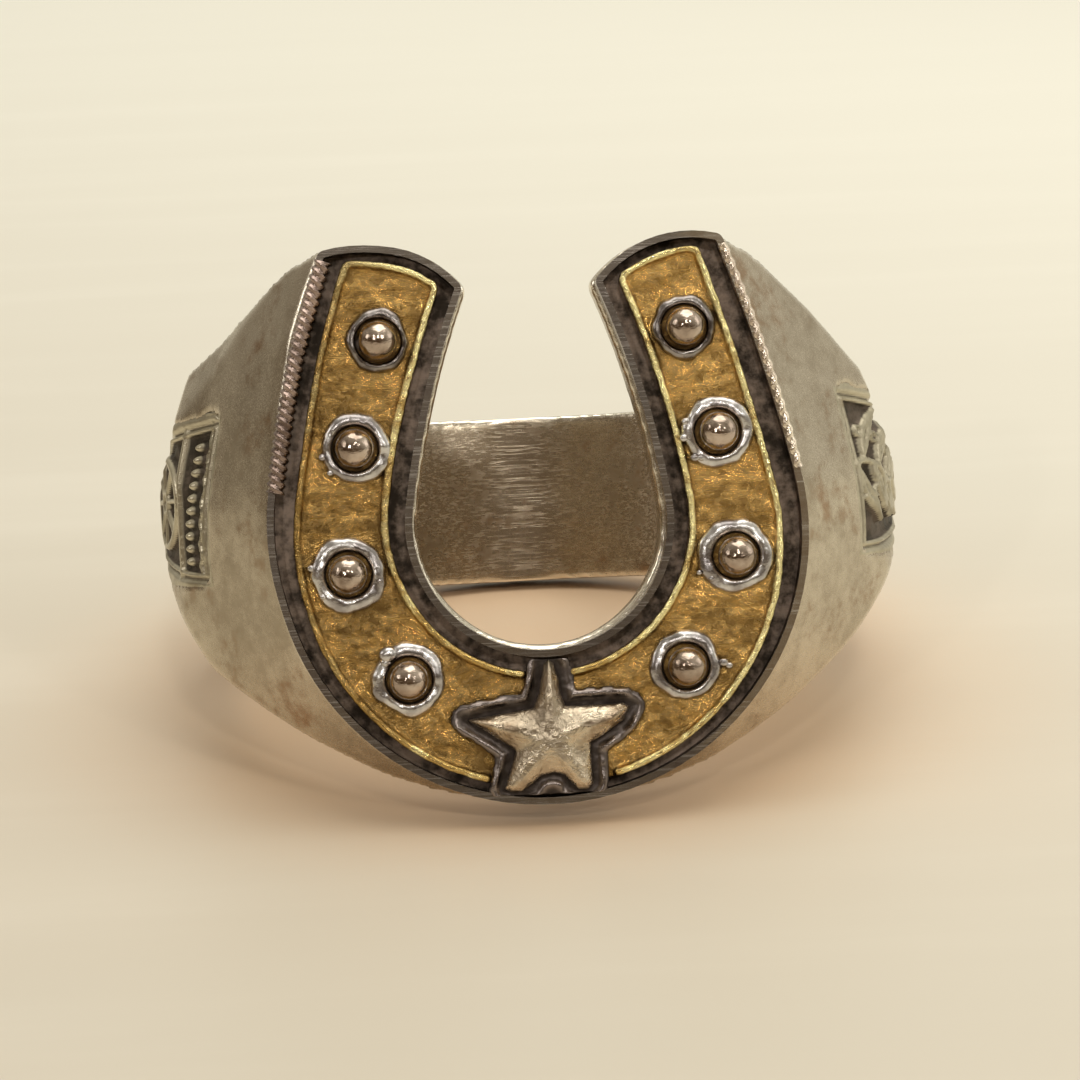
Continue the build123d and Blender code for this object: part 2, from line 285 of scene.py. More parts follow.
# %% Silver of the shank, the balls, the star and the wire
shank_silver = old_silver("shank_silver", (0.60, 0.53, 0.42), (0.39, 0.33, 0.245), (0.33, 0.205, 0.115),
                          amount=0.44, reach=0.4, scratch=0.0025, grain=0.0006, gloss=0.17)
ball_silver = old_silver("ball_silver", (0.60, 0.50, 0.42), (0.27, 0.205, 0.155), (0.16, 0.105, 0.07),
                         amount=0.4, reach=0.3, scratch=0.002, gloss=0.04, lumps=0.03)
star_silver = old_silver("star_silver", (0.66, 0.57, 0.435), (0.32, 0.26, 0.19), (0.25, 0.175, 0.11),
                         amount=0.46, reach=0.45, scratch=0.002, grain=0.004, gloss=0.2, lumps=0.11)
wire_silver = old_silver("wire_silver", (0.44, 0.34, 0.295), (0.20, 0.15, 0.13), (0.13, 0.085, 0.065),
                         amount=0.5, reach=0.6, gloss=0.16)
# The right wire is given much paler colours than the left wire.
pale_wire_silver = old_silver("pale_wire_silver", (0.97, 0.87, 0.72), (0.72, 0.60, 0.50), (0.35, 0.22, 0.14),
                                amount=0.3, reach=0.2, gloss=0.17)

# %% [markdown]
# ## Blackened tray
# The tray's groove was blackened on purpose, with liver of sulphur, and its lips were then rubbed bright again.
# Black and bright part by height, so the recipe measures how far a point lies below the top of the lips, and
# keeps the black to the inside of the groove, where the sky is narrow.

# %% Tray and star backing finishes


def below_lips(silver, mottle):
    depth = silver.along(-outward, face_middle) + mottle * 0.12
    return silver.fade(depth, 0.08, 0.26) * silver.fade(silver.crevices(1.2), 0.10, 0.34)


tray_silver = old_silver("tray_silver", (0.46, 0.425, 0.38), (0.23, 0.205, 0.185), (0.18, 0.13, 0.10),
                         amount=0.35, reach=0.4, scratch=0.0008, gloss=0.15, extra=below_lips,
                         sooty=(0.31, 0.245, 0.20))


def black_backing():
    """Black in the hollow beside the star, and rubbed grey on the ridge round it."""
    backing = Finish("backing_silver", Metallic=1.0)
    mottle = backing.noise(0.3, detail=5.0, rough=0.65)
    ridge = backing.fade(backing.along(outward, face_middle) + mottle * 0.08, -0.07, 0.06)
    colour = backing.blend(ridge, (0.05, 0.040, 0.034), (0.25, 0.215, 0.20))
    return backing.wear(colour, 0.38 - ridge * 0.16 + mottle * 0.1, None,
                        backing.bump(backing.noise(0.12, detail=4.0), 0.012))


backing_silver = black_backing()

# %% [markdown]
# ## Solder
# Tin and silver solder is bluer and greyer than silver and has a frozen, slightly rippled skin.

# %% Solder


def old_solder(name, clean, dull):
    solder = Finish(name, Metallic=1.0)
    skin = solder.noise(0.26, detail=4.0, rough=0.6)
    patch = solder.fade(solder.noise(0.7, detail=3.0), 0.38, 0.64)
    corner = solder.fade(solder.crevices(0.35) + skin * 0.2, 0.45, 0.9)
    colour = solder.blend(corner, solder.blend(patch, clean, dull), (0.045, 0.036, 0.032))
    return solder.wear(colour, 0.14 + skin * 0.2 + corner * 0.2, None,
                       solder.bump(skin, 0.018, solder.bump(solder.noise(0.06, detail=3.0), 0.005)))


solder_grey = old_solder("solder_grey", (0.70, 0.69, 0.68), (0.36, 0.335, 0.33))
dark_solder = old_solder("dark_solder", (0.34, 0.315, 0.30), (0.13, 0.11, 0.10))

# %% [markdown]
# ## Old brass
# The brass shoe is a deep gold. Its rims are rubbed to a bright yellow, and its hammered field has gone brown,
# most of all in the dents and round the nails. Height parts the two again, and small wrinkles give glints. Field and
# rims are also painted browner towards the lower left and paler towards the upper right, as painted shade and light.

# %% Brass finish


def hammered_brass():
    """Stained in the field, black in the corners, and rubbed bright along the rims where they aren't stained, with
    painted shade towards the lower left and painted light towards the upper right.
    """
    brass = Finish("old_brass", Metallic=1.0)
    height = brass.along(outward, face_middle)
    mottle = brass.noise(0.35, detail=5.0, rough=0.62)
    cloud = brass.noise(1.6, detail=3.0)
    rim = brass.fade(height + mottle * 0.06, -0.13, -0.03)
    stain = brass.fade(cloud * 0.5 + mottle * 0.5, 0.38, 0.62)
    corner = brass.fade(brass.crevices(0.5) + mottle * 0.3, 0.42, 0.8)
    # Painted shade and light: the field and its rims are painted browner towards the lower left and paler towards the
    # upper right.
    painted_shade_low_left = brass.fade(brass.along(across * 0.75 + up * 0.66, face_middle) + 4.0 * cloud, 5.5, -4.5)
    painted_light_upper_right = brass.fade(brass.along(across * 0.6 + up * 0.8, face_middle) + 3.0 * cloud, 4.0, 11.0)
    brown = (stain * 0.85 + painted_shade_low_left * 0.2 - painted_light_upper_right * 0.15).most(0.0)
    colour = brass.blend(brown, (0.65, 0.405, 0.125), (0.19, 0.115, 0.038))
    colour = brass.blend(corner, colour, (0.085, 0.050, 0.020))
    worn_rim = brass.fade(brass.noise(0.9, detail=4.0, rough=0.7) - painted_shade_low_left * 0.16, 0.30, 0.5)
    outer_left = brass.fade(brass.along(-across) + mottle * 1.5, 4.9, 6.6)
    rim_colour = brass.blend(worn_rim, (0.55, 0.38, 0.13), (1.0, 0.90, 0.46))
    colour = brass.blend(rim * (1 - outer_left * 0.75), colour, rim_colour)
    wrinkle = brass.noise(0.2, detail=5.0, rough=0.72, twist=0.8)
    lines = brass.hairlines((0, 0, 65), length=2.0)
    return brass.wear(colour, 0.13 + stain * 0.16 + corner * 0.15 + lines * 0.1 - rim * 0.03, None,
                      brass.bump(wrinkle * 0.5 + mottle * 0.5, 0.075, brass.bump(1 - lines, 0.004)))


old_brass = hammered_brass()

# %% [markdown]
# ## Carved panels
# The ground between the carved lines was blackened and the tops rubbed bright. The carving writes how deep every
# point was cut into an attribute called `carved`, and the finish reads it.

# %% Panel silver


def cut_ground(silver, mottle):
    depth = silver.node("ShaderNodeAttribute", {"attribute_name": "carved"}, output="Fac")
    return silver.fade(depth + mottle * 0.25, 0.42, 0.8) * 0.94


panel_silver = old_silver("panel_silver", (0.60, 0.55, 0.42), (0.38, 0.34, 0.25), (0.30, 0.22, 0.13),
                          amount=0.3, reach=0.3, gloss=0.24, extra=cut_ground)

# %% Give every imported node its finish
FINISHES = {"shank": shank_silver, "horseshoe_tray": tray_silver, "brass_shoe_plate": old_brass,
            "star_backing": backing_silver, "star": star_silver, "rope_edge_left": wire_silver,
            "rope_edge_right": pale_wire_silver, "panel_left": panel_silver, "panel_right": panel_silver}
for name, node in frame["nodes"].items():
    finish = FINISHES.get(name, ball_silver if name.startswith("nail") else solder_grey)
    node.data.materials.clear()
    node.data.materials.append(finish)
print("finishes", len({node.data.materials[0].name for node in frame["nodes"].values()}))

# %% [markdown]
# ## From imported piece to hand-worked piece
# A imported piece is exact, and its edges are knife sharp. Worn metal never is: a polished or rubbed edge is a
# thin rounded strip that catches the light. So some pieces are copied, their loose triangles merged and their flat
# parts joined, and every real edge gets a narrow bevel. Weighted normals keep the flats looking flat.

# %% Helpers for new pieces
RING_TO_SCENE = Matrix((across, up, outward)).transposed().to_4x4() @ Matrix.Scale(MM, 4)
FACE_TO_SCENE = Matrix.Translation(face_middle) @ RING_TO_SCENE


def finished(name, form, finish, replaced=(), place=FACE_TO_SCENE, weighted=False):
    """Makes a bmesh, worked in millimetres, into a piece of the ring."""
    bmesh.ops.remove_doubles(form, verts=form.verts, dist=0.0005)
    bmesh.ops.recalc_face_normals(form, faces=form.faces)
    bmesh.ops.transform(form, matrix=place, verts=form.verts)
    for face in form.faces:
        face.smooth = True
    mesh = bpy.data.meshes.new(name)
    form.to_mesh(mesh)
    form.free()
    mesh.materials.append(finish)
    piece = bpy.data.objects.new(name, mesh)
    bpy.context.scene.collection.objects.link(piece)
    if weighted:
        piece.modifiers.new("flats", "WEIGHTED_NORMAL").weight = 80
    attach(piece, "root")
    if replaced:
        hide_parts(*replaced)
    print(name, len(mesh.polygons), "faces")
    return piece


def copied(node, place=FACE_TO_SCENE):
    """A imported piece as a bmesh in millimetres, with its triangles merged and its flat parts joined."""
    form = bmesh.new()
    form.from_mesh(frame["nodes"][node].data)
    bmesh.ops.transform(form, matrix=place.inverted(), verts=form.verts)
    bmesh.ops.remove_doubles(form, verts=form.verts, dist=0.0005)
    return form


def soften(form, width, steps=2, sharpest=28):
    """Bevels every edge that turns more sharply than this many degrees."""
    bmesh.ops.dissolve_limit(form, angle_limit=math.radians(0.3), verts=form.verts, edges=form.edges)
    limit = math.radians(sharpest)
    sharp = [edge for edge in form.edges if edge.is_manifold and edge.calc_face_angle() > limit]
    bmesh.ops.bevel(form, geom=sharp, offset=width, offset_type="OFFSET", segments=steps, profile=0.5,
                    affect="EDGES", clamp_overlap=True, material=-1)
    return len(sharp)


def worked(form, cell):
    """Cuts a closed form into even small faces, so that marks and dents can be real."""
    mesh = bpy.data.meshes.new("blank")
    form.to_mesh(mesh)
    blank = bpy.data.objects.new("blank", mesh)
    bpy.context.scene.collection.objects.link(blank)
    remesh = blank.modifiers.new("even", "REMESH")
    remesh.mode = "VOXEL"
    remesh.voxel_size = cell
    even = bpy.data.meshes.new_from_object(blank.evaluated_get(bpy.context.evaluated_depsgraph_get()))
    form.clear()
    form.from_mesh(even)
    bpy.data.objects.remove(blank)
    return form


def mark_edges(form, cell, rounds=5):
    """Writes how far each point stands out of, or back from, the smoothed form, as a share of a cell."""
    rubbed_and_edge_light = form.verts.layers.float.new("rubbed_and_edge_light")
    form.normal_update()
    before = [(vertex.co.copy(), vertex.normal.copy()) for vertex in form.verts]
    smoothed(form, rounds)
    for vertex, (place, normal) in zip(form.verts, before):
        vertex[rubbed_and_edge_light] = (place - vertex.co).dot(normal) / cell
        vertex.co = place


def smoothed(form, rounds):
    for _ in range(rounds):
        bmesh.ops.smooth_vert(form, verts=form.verts, factor=0.5, use_axis_x=True, use_axis_y=True, use_axis_z=True)


def middle_of(node):
    """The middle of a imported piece, across and up the face, in millimetres."""
    points = [vertex.co for vertex in frame["nodes"][node].data.vertices]
    middle = FACE_TO_SCENE.inverted() @ (sum(points, Vector()) / len(points))
    return middle.x, middle.y


# %% [markdown]
# ## Shank
# The shank was filed by hand: its flats are not quite flat and its edges are rounded by years of wear.
# A bevel cannot follow so many curved cuts that meet, so the copy is remeshed into even small faces, smoothed a
# little, and then moved in and out by a few hundredths of a millimetre.

# %% Work the shank
SHANK_CELL = 0.15
BORE_RADIUS = 9.9
FLARE = 0.42
FULLNESS = {-1: 0.55, 1: 0.4}


def share_of(value, start, end):
    """0 up to the start, 1 from the end on, and an even change between them."""
    return min(1.0, max(0.0, (value - start) / (end - start)))


def flare_at(x, y):
    """How far the left branch was bent outwards by hand, most at the heel, at a place on the face."""
    side = share_of(-x, 3.6, 5.8)
    return FLARE * share_of(y, -2.5, 5.5) * side * side * (3 - 2 * side)


def flared(form):
    for vertex in form.verts:
        vertex.co.x -= flare_at(vertex.co.x, vertex.co.y)


def make_shank():
    form = worked(copied("shank", RING_TO_SCENE), SHANK_CELL)
    smoothed(form, 2)
    mark_edges(form, SHANK_CELL)
    rubbed_and_edge_light = form.verts.layers.float["rubbed_and_edge_light"]
    for vertex in form.verts:
        x, y, z = vertex.co
        # Painted reflection: inside the band the silver is painted a little browner, mostly for the dim brown room that
        # it reflects.
        if vertex.co.xz.length < BORE_RADIUS + 0.1:
            vertex[rubbed_and_edge_light] -= 0.04
        if abs(x) > 10 and abs(y - 0.2) < 2.95 and -4.2 < z < 7.85:  # the edges of the recesses are covered
            vertex[rubbed_and_edge_light] = min(0.0, vertex[rubbed_and_edge_light])
        vertex.co.x -= flare_at(x, y + HEAD_DROP) * share_of(z, 7.0, 10.5)
        fuller = share_of(y, 0.5, 4.5) * share_of(abs(x), 5.8, 7.3) * share_of(-abs(x), -12.4, -9.4)
        vertex.co.y += FULLNESS[1 if x > 0 else -1] * fuller
        wave = noise.noise(vertex.co * 0.4) * 0.03 + noise.noise(vertex.co * 1.5) * 0.007
        vertex.co += vertex.normal * wave
    return finished("worn_shank", form, shank_silver, ["shank"], RING_TO_SCENE)


shank = make_shank()

# %% [markdown]
# ## Tray
# The tray is the dark frame of the brass shoe. Its lips were rubbed bright and its groove was blackened on
# purpose, with liver of sulphur, so the shoe stands out.

# %% Tray
def make_tray():
    form = copied("horseshoe_tray")
    print("edges bevelled on the tray", soften(form, 0.08))
    rubbed_and_edge_light = form.verts.layers.float.new("rubbed_and_edge_light")
    for vertex in form.verts:
        lowest = -0.03 if vertex.co.z < -0.008 or vertex.co.x > 5.4 else 1.0
        vertex[rubbed_and_edge_light] = 0.3 if vertex.co.z > lowest else 0.0
    flared(form)
    return finished("blackened_tray", form, tray_silver, ["horseshoe_tray"], weighted=True)


tray = make_tray()

# %% [markdown]
# ## Brass shoe
# The brass was hammered, and its raised rims were left bright. Hammer marks are shallow dishes that overlap, so
# the field is pushed down by the distance to scattered points, and the rims get a slower waver.

# %% Brass
PLATE_CELL = 0.07
FIELD_LEVEL = -0.22


def make_brass_shoe():
    form = worked(copied("brass_shoe_plate"), PLATE_CELL)
    smoothed(form, 2)
    for vertex in form.verts:
        if vertex.co.z > FIELD_LEVEL - 0.1:
            flat = Vector((vertex.co.x, vertex.co.y, 0))
            near = noise.voronoi(flat * 1.6)[0][0]
            vertex.co.z += -0.05 + 0.09 * near + 0.03 * noise.noise(flat * 3.1)
            vertex.co.x += 0.02 * noise.noise(flat * 2.3 + Vector((9, 0, 0)))
            vertex.co.y += 0.02 * noise.noise(flat * 2.3 + Vector((0, 9, 0)))
        if abs(vertex.co.x) < 1.5 and vertex.co.y < -7.8:  # beaten flat where the star sits
            vertex.co.z = min(vertex.co.z, -0.45)
    flared(form)
    return finished("hammered_brass_shoe", form, old_brass, ["brass_shoe_plate"])


brass_shoe = make_brass_shoe()

# %% [markdown]
# ## Ball heads
# Each ball is a scrap of silver melted on charcoal, which draws itself into a ball, with a flat or a dent where
# it has been knocked. A sphere of small triangles takes those dents evenly, without poles.

# %% Balls
BALL_RADIUS = 0.62
BALL_LIFT = FIELD_LEVEL + 0.565
ROWS = [f"{side}_{row}" for side in ("left", "right") for row in (1, 2, 3, 4)]


def make_ball(row, seed):
    form = bmesh.new()
    bmesh.ops.create_icosphere(form, subdivisions=5, radius=BALL_RADIUS)
    start = Vector((seed * 7.3, 0, 0))
    for vertex in form.verts:
        dent = noise.noise(vertex.co * 2.2 + start) * 0.022 + noise.noise(vertex.co * 6.0 + start) * 0.006
        vertex.co *= 1 - abs(dent) - 0.004
    x, y = middle_of("nail_stud_" + row)
    bmesh.ops.translate(form, verts=form.verts, vec=(x, y, BALL_LIFT))
    return finished("ball_" + row, form, ball_silver, ["nail_stud_" + row])


balls = [make_ball(row, seed) for seed, row in enumerate(ROWS)]

# %% [markdown]
# ## Solder collars
# Solder flooded out round each nail and froze in a ragged ring, thick in one place and thin in another.
# A profile spun round gives the ring, and noise that depends on the angle pulls its edge in and out.

# %% Collars
COLLAR_PROFILE = [(0.0, 0.0), (0.04, 0.12), (0.13, 0.2), (0.32, 0.235), (0.58, 0.215), (0.8, 0.16), (0.94, 0.08),
                  (1.0, -0.04)]
COLLAR_INNER = 0.71
COLLAR_STEPS = 72
# Drops of solder that froze beside a collar: the way to each in degrees, how far out it lies, and its size.
SPATTER = {"left_2": [(192, 1.07, 0.11), (222, 1.1, 0.09), (2, 0.98, 0.09)],
           "left_3": [(168, 1.2, 0.11), (219, 1.07, 0.10), (-14, 1.0, 0.10)],
           "left_4": [(127, 1.05, 0.27), (140, 0.92, 0.16), (196, 0.95, 0.09)],
           "right_1": [(135, 0.85, 0.08)],
           "right_2": [(160, 1.08, 0.12), (188, 1.1, 0.13), (226, 1.1, 0.13), (236, 0.98, 0.1)],
           "right_3": [(202, 1.3, 0.08), (221, 1.06, 0.1)],
           "right_4": [(3, 1.2, 0.13), (-2, 1.38, 0.1)]}


def make_collar(row, seed):
    x, y = middle_of("nail_stud_" + row)
    low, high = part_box("stud_collar_" + row)
    radius = (high.x - low.x) / 2 / MM * 1.1
    form = bmesh.new()
    profile = [form.verts.new((COLLAR_INNER + share * (radius - COLLAR_INNER), 0, height))
               for share, height in COLLAR_PROFILE]
    edges = [form.edges.new(pair) for pair in zip(profile, profile[1:])]
    bmesh.ops.spin(form, geom=profile + edges, cent=(0, 0, 0), axis=(0, 0, 1), angle=math.tau,
                   steps=COLLAR_STEPS, use_merge=True)
    for vertex in form.verts:
        out = Vector((vertex.co.x, vertex.co.y, 0))
        around = out.normalized()
        place = around + Vector((0, 0, seed * 3.7))
        share = max(0.0, (out.length - COLLAR_INNER) / (radius - COLLAR_INNER))
        ragged = noise.noise(place * 1.3) * 0.17 + noise.noise(place * 3.5) * 0.05
        lumps = 0.95 + noise.noise(place * 1.6 + Vector((5, 0, 0))) * 0.4 + noise.noise(place * 5.0) * 0.1
        vertex.co += around * ragged * share ** 1.5
        vertex.co.z *= lumps
    for angle, away, size in SPATTER.get(row, []):
        drop = bmesh.ops.create_icosphere(form, subdivisions=3, radius=size)["verts"]
        bmesh.ops.scale(form, verts=drop, vec=(1.15, 1, 0.8))
        turn = math.radians(angle)
        bmesh.ops.translate(form, verts=drop, vec=(away * math.cos(turn), away * math.sin(turn), 0.12 + size * 0.2))
    bmesh.ops.translate(form, verts=form.verts, vec=(x, y, FIELD_LEVEL))
    metal = dark_solder if row.endswith("1") else solder_grey
    return finished("solder_" + row, form, metal, ["stud_collar_" + row])


collars = [make_collar(row, seed) for seed, row in enumerate(ROWS)]

# %% [markdown]
# ## Star
# The star was cast and then filed, so its ridges are blunt, its points are round and no two arms are alike.
# Its outline is a ring of corners round a middle. Like a roof, it rises from the outline to a ridge along each
# arm, by the share of the way that a point lies between the two, and all of it is then smoothed.

# %% Star
STAR_LEVEL = -0.10
STAR_EDGE = 0.24
STAR_RISE = 0.53
STAR_FLAT = 0.46
STAR_PLACE = Vector((-0.04, -6.9, 0))
STAR_OUTLINE = [(0.08, 2.42), (-0.08, 2.28), (-0.2, 1.8), (-0.27, 1.4), (-0.48, 0.9), (-2.58, 0.62), (-1.1, -0.43),
                (-1.5, -1.64), (-1.3, -1.74), (-0.95, -1.74), (-0.64, -1.55), (-0.32, -1.28), (0.08, -1.2),
                (0.44, -1.3), (0.66, -1.58), (0.85, -1.76), (1.15, -1.76), (1.32, -1.6), (1.3, -0.3), (1.75, -0.06),
                (2.36, 0.36), (2.58, 0.8), (2.38, 0.92), (0.56, 0.92), (0.4, 1.4), (0.37, 1.8), (0.24, 2.28)]
STAR_TIPS = [(0.1, 2.3), (-2.58, 0.62), (-1.22, -1.6), (1.08, -1.6), (2.5, 0.66)]


def distance_to(stroke, spot):
    first, last = stroke
    along = last - first
    share = min(1.0, max(0.0, (spot - first).dot(along) / along.length_squared))
    return (spot - first - along * share).length


STAR_SIDES = [(Vector(a), Vector(b)) for a, b in zip(STAR_OUTLINE, STAR_OUTLINE[1:] + STAR_OUTLINE[:1])]
STAR_RIDGES = [(Vector((0, 0)), Vector(tip)) for tip in STAR_TIPS]


def make_star():
    form = bmesh.new()
    bmesh.ops.create_circle(form, segments=len(STAR_OUTLINE), radius=1, cap_ends=True, cap_tris=True)
    rim = sorted((v for v in form.verts if v.co.length > 0.5), key=lambda v: -math.atan2(v.co.x, v.co.y) % math.tau)
    for vertex, corner in zip(rim, STAR_OUTLINE):
        vertex.co = Vector((*corner, 0))
    bmesh.ops.subdivide_edges(form, edges=form.edges, cuts=9, use_grid_fill=True)
    for vertex in form.verts:
        spot = Vector((vertex.co.x, vertex.co.y))
        edge = min(distance_to(side, spot) for side in STAR_SIDES)
        away = [distance_to(ridge, spot) for ridge in STAR_RIDGES]
        reach = spot.length / STAR_RIDGES[away.index(min(away))][1].length
        share = edge / (edge + min(away) + 0.001)
        roof = min(1.0, share * 1.25) ** 0.7 * (STAR_RISE - 0.24 * reach)
        vertex.co.z = STAR_EDGE + min(roof, STAR_FLAT)
        vertex.co.z += 0.07 * noise.noise(vertex.co * 1.9) + 0.02 * noise.noise(vertex.co * 6)
    walls = bmesh.ops.extrude_edge_only(form, edges=[edge for edge in form.edges if edge.is_boundary])["geom"]
    feet = [geom for geom in walls if isinstance(geom, bmesh.types.BMVert)]
    for vertex in feet:
        vertex.co = Vector((vertex.co.x * 1.02, vertex.co.y, 0))
    bmesh.ops.contextual_create(form, geom=[edge for edge in form.edges if edge.is_boundary])
    bmesh.ops.triangulate(form, faces=form.faces)
    bmesh.ops.subdivide_edges(form, edges=form.edges, cuts=1, use_grid_fill=True)
    smoothed(form, 3)
    bmesh.ops.translate(form, verts=form.verts, vec=STAR_PLACE + Vector((0, 0, STAR_LEVEL)))
    return finished("filed_star", form, star_silver, ["star"])


star = make_star()

# %% [markdown]
# ## Star backing
# Under the star lies a blackened plate with a soft ridge that follows the star's outline, a little way off.
# It is a fine grid: each point's distance from the star gives its height, and what lies too far off is cut away.

# %% Star backing
BACKING_WIDTH = 0.56
BACKING_CELL = 0.06
BACKING_SIZE = (3.3, 3.1)
RIDGE_AWAY = 0.36
RIDGE_WIDTH = 0.13


def make_backing():
    form = bmesh.new()
    steps = [round(2 * side / BACKING_CELL) for side in BACKING_SIZE]
    bmesh.ops.create_grid(form, x_segments=steps[0], y_segments=steps[1], size=1)
    bmesh.ops.scale(form, verts=form.verts, vec=(*BACKING_SIZE, 1))
    far_off = []
    for vertex in form.verts:
        spot = Vector((vertex.co.x, vertex.co.y))
        away = min(distance_to(line, spot) for line in STAR_RIDGES + STAR_SIDES)
        ridge = math.exp(-((away - RIDGE_AWAY) / RIDGE_WIDTH) ** 2) * (0.8 + noise.noise(vertex.co * 2))
        vertex.co.z = 0.01 + 0.15 * ridge + 0.015 * noise.noise(vertex.co * 5)
        arch = abs(spot.x) < 1.1 and -1.92 < spot.y < -1
        if away > BACKING_WIDTH + 0.08 * noise.noise(vertex.co * 3) and not arch:
            far_off.append(vertex)
        elif spot.y < -1.92 or (spot + STAR_PLACE.xy - Vector((0, -0.15))).length < 4.3:
            far_off.append(vertex)
    bmesh.ops.delete(form, geom=far_off, context="VERTS")
    rim = [vertex for vertex in form.verts if vertex.is_boundary]
    for _ in range(3):
        bmesh.ops.smooth_vert(form, verts=rim, factor=0.5, use_axis_x=True, use_axis_y=True)
    walls = bmesh.ops.extrude_edge_only(form, edges=[edge for edge in form.edges if edge.is_boundary])["geom"]
    feet = [geom for geom in walls if isinstance(geom, bmesh.types.BMVert)]
    for vertex in feet:
        vertex.co.z = -0.11
    bmesh.ops.translate(form, verts=form.verts, vec=STAR_PLACE + Vector((0, 0, STAR_LEVEL)))
    return finished("blackened_backing", form, backing_silver, ["star_backing"])


star_backing = make_backing()

# %% [markdown]
# ## Twisted wire
# Two fine wires twisted together and soldered along the outside of the shoe look like a tiny rope.
# A flattened ring of points is drawn out along the branch step by step, and turned a little at each step.

# %% Rope edges
TOE_RADIUS = 8.55
TOE_CENTRE = -0.55
TOE_RISE = 12
ROPE_HEEL = (6.28, 8.45)
ROPE_LEVEL = -0.12
STEPS_PER_TWIST = 16


def branch_arc(side, stand_off):
    """Start, centre and angle of the arc that the wire follows, from the toe's bow to the heel."""
    rise = math.radians(TOE_RISE)
    inward = Vector((-math.cos(rise), -math.sin(rise)))
    start = Vector((0, TOE_CENTRE)) - inward * (TOE_RADIUS + stand_off)
    chord = Vector((ROPE_HEEL[0] + stand_off, ROPE_HEEL[1])) - start
    radius = chord.length_squared / (2 * chord.dot(inward))
    centre = start + inward * radius
    angle = 2 * math.asin(chord.length / (2 * radius))
    flip = Vector((side, 1))
    return start * flip, centre * flip, angle * side, radius


def make_rope(side, name, finish, stand_off, twist_length, thick, thin):
    start, centre, angle, radius = branch_arc(side, stand_off)
    steps = round(radius * abs(angle) / twist_length * STEPS_PER_TWIST)
    form = bmesh.new()
    bmesh.ops.create_circle(form, segments=14, radius=1, cap_ends=True)
    bmesh.ops.scale(form, verts=form.verts, vec=(thick, thin, 1))
    bmesh.ops.rotate(form, verts=form.verts, cent=(0, 0, 0), matrix=Matrix.Rotation(math.pi / 2, 3, "X"))
    heading = math.atan2(start.y - centre.y, start.x - centre.x)
    bmesh.ops.rotate(form, verts=form.verts, cent=(0, 0, 0), matrix=Matrix.Rotation(heading, 3, "Z"))
    bmesh.ops.translate(form, verts=form.verts, vec=(*start, ROPE_LEVEL))
    middle = Vector((*centre, ROPE_LEVEL))
    step = Matrix.Rotation(angle / steps, 3, "Z")
    end_faces = list(form.faces)
    for _ in range(steps):
        grown = bmesh.ops.extrude_face_region(form, geom=end_faces)["geom"]
        bmesh.ops.delete(form, geom=end_faces, context="FACES")
        ring = [geom for geom in grown if isinstance(geom, bmesh.types.BMVert)]
        end_faces = [geom for geom in grown if isinstance(geom, bmesh.types.BMFace)]
        bmesh.ops.rotate(form, verts=ring, cent=middle, matrix=step)
        spot = sum((vertex.co for vertex in ring), Vector()) / len(ring)
        tangent = Vector((0, 0, 1)).cross(spot - middle)
        twist = Matrix.Rotation(math.tau / STEPS_PER_TWIST, 3, tangent)
        bmesh.ops.rotate(form, verts=ring, cent=spot, matrix=twist)
    flared(form)
    return finished(name, form, finish, ["rope_edge_" + ("right" if side > 0 else "left")])


rope_left = make_rope(-1, "twisted_wire_left", wire_silver, -0.22, 0.54, 0.3, 0.22)
rope_right = make_rope(1, "twisted_wire_right", pale_wire_silver, -0.06, 0.86, 0.175, 0.13)

# %% [markdown]
# ## Carved side panels
# Each shoulder has an inset plate. In its front part lies a carved field with a thin frame, straight at the front
# and rounded behind. The left one holds a spoked wheel behind a row of beads, the right one a winding stem with
# leaves, both common patterns on such rings.
# A carver draws lines on the blank and cuts the ground away between them. So a fine grid is laid on the packed
# panel by casting rays at it, and then every point sinks, unless it lies under a line or a bead of the drawing.
# Towards the back the cuts grow shallow, and the plate's margin bridges the seam to the shank.

# %% Helpers for carving
PANEL_TOP = 7.8
PANEL_LENGTH = 11.2
PANEL_OFFSET = 0.2
PANEL_FRONT = 2.64
PANEL_BACK = 2.09
PANEL_OVERLAP = (0.35, 0.36)
CARTOUCHE = (7.0, 2.55)
CARTOUCHE_START = 0.12
CARTOUCHE_POWER = 1.6
FRAME_WIDTH = 0.13
GROUND = 0.34
GROUND_RISES = (2.4, 4.8)
CARVE_STEPS = (216, 96)


def curve(steps, rule):
    """A drawn line as short straight strokes, from a rule that gives a point for each share from 0 to 1."""
    points = [Vector(rule(step / steps)) for step in range(steps + 1)]
    return list(zip(points, points[1:]))


def arc(x, y, radius, first, last, squash=1.0, steps=14):
    """Part of a circle between two angles in degrees, squashed along the panel if asked."""
    def rule(share):
        angle = math.radians(first + (last - first) * share)
        return x + radius * math.cos(angle) * squash, y + radius * math.sin(angle)
    return curve(steps, rule)


def lift(spot, lines, beads):
    """How high the drawing stands at a spot, from 0 on the ground to 1."""
    height = 0.0
    for width, strokes in lines:
        nearest = min(distance_to(stroke, spot) for stroke in strokes)
        if nearest < width:
            height = max(height, min(1.0, 1.5 * math.sqrt(1 - (nearest / width) ** 2)) * 0.92)
    for middle, radius in beads:
        away = (spot - middle).length
        if away < radius:
            height = max(height, math.sqrt(1 - (away / radius) ** 2))
    return height


def near(lines, spot, reach):
    """Only the lines whose strokes come near a spot, so that the search stays short."""
    return [(width, [stroke for stroke in strokes if (stroke[0] - spot).length < reach]) for width, strokes in lines]


